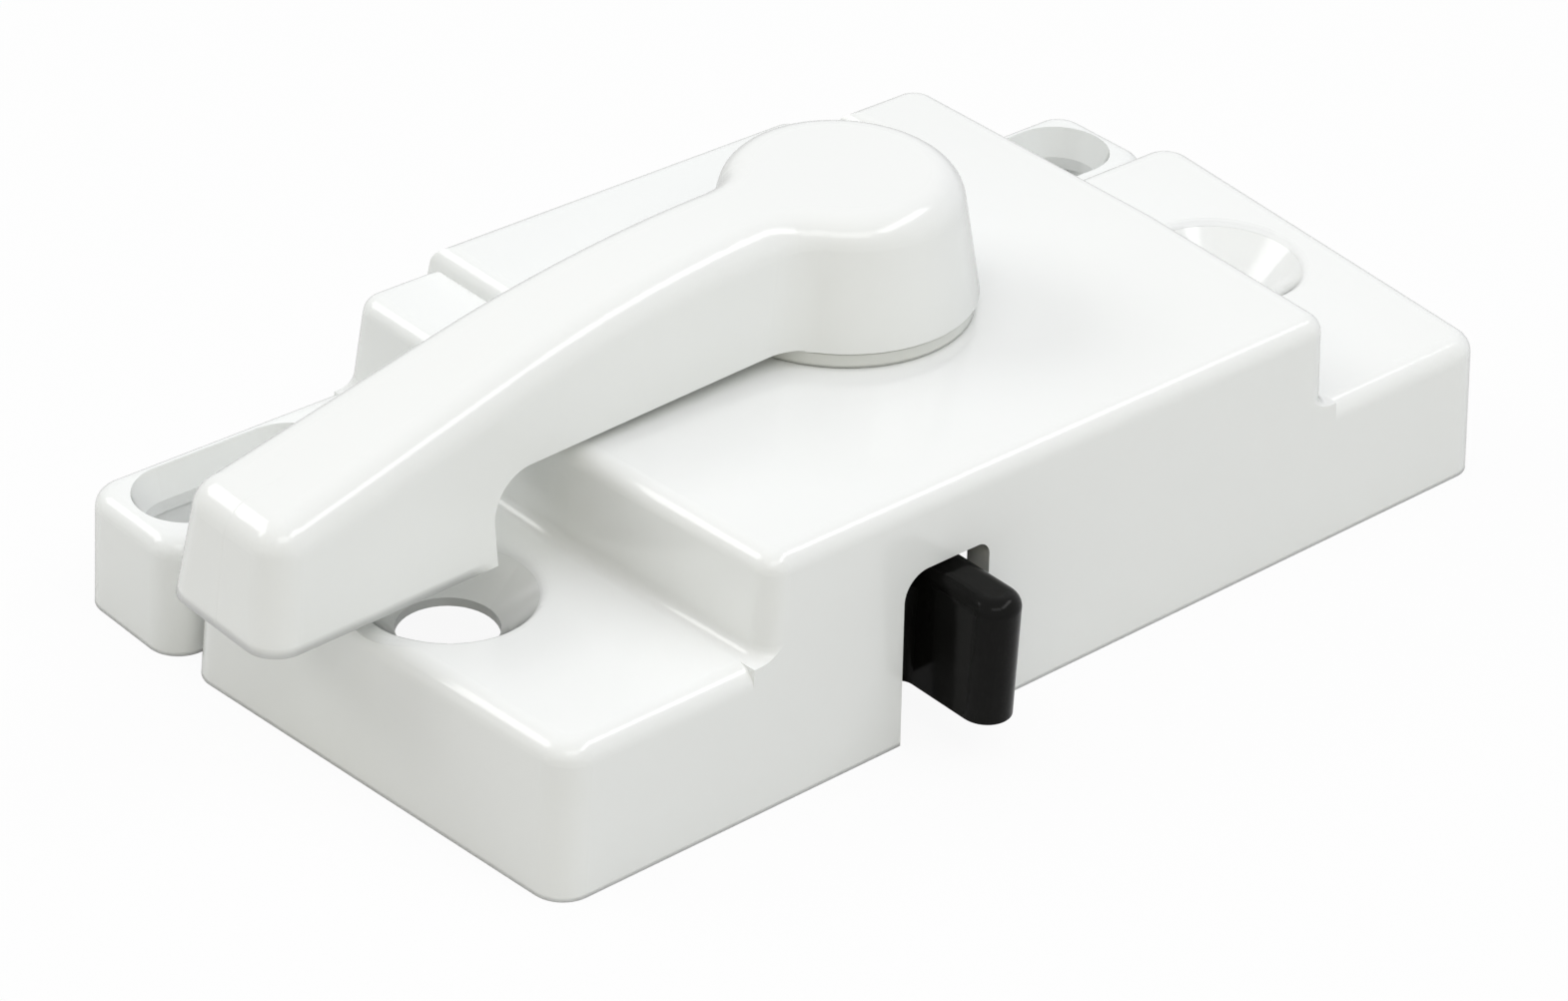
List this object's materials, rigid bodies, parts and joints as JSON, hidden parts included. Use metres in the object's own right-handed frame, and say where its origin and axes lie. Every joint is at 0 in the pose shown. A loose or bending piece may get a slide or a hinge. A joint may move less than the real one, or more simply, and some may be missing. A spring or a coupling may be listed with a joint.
{
  "type": "sash lock",
  "caption": "White cam-action window sash lock: a swinging lever on a hollow cast housing turns a crescent cam into a separate keeper; a black push button sits in the room-side wall.",
  "frame": {"origin": "on the mounting face, under the lever's pivot axis", "axes": "+Z out of the meeting rail along the pivot, +X along the rail, +Y from the room side towards the keeper"},
  "size_m": [0.0829, 0.0441, 0.024],
  "materials": {
    "housing_paint": "glossy white paint on a zinc casting",
    "lever_paint": "glossy white paint on a zinc casting",
    "keeper_paint": "glossy white paint on a zinc casting",
    "washer_white": "smooth white plastic",
    "button_black": "glossy black plastic",
    "zinc_plate": "zinc plated",
    "spring_steel": "bright spring wire"
  },
  "bodies": {
    "mounted_castings": {"lock_housing": "housing_paint", "keeper": "keeper_paint", "hub_washer": "washer_white", "button_retainer": "zinc_plate", "retainer_screw_back": "zinc_plate", "retainer_screw_front": "zinc_plate", "button_spring": "spring_steel"},
    "lever": {"lever_handle": "lever_paint", "cam": "zinc_plate", "wave_washer": "spring_steel", "cam_washer": "zinc_plate", "cam_screw": "zinc_plate"},
    "button": {"release_button": "button_black"}
  },
  "joints": [
    {"name": "lever_swing", "type": "hinge", "parent": "mounted_castings", "child": "lever", "pos_m": [0, 0, 0], "axis": [0, 0, 1], "range_deg": [0, 180]},
    {"name": "button_press", "type": "slide", "parent": "mounted_castings", "child": "button", "axis": [0, 1, 0], "range_m": [0, 0.004], "stiffness_N_per_m": 300, "springref_m": -0.002, "deforming": ["button_spring"]}
  ]
}
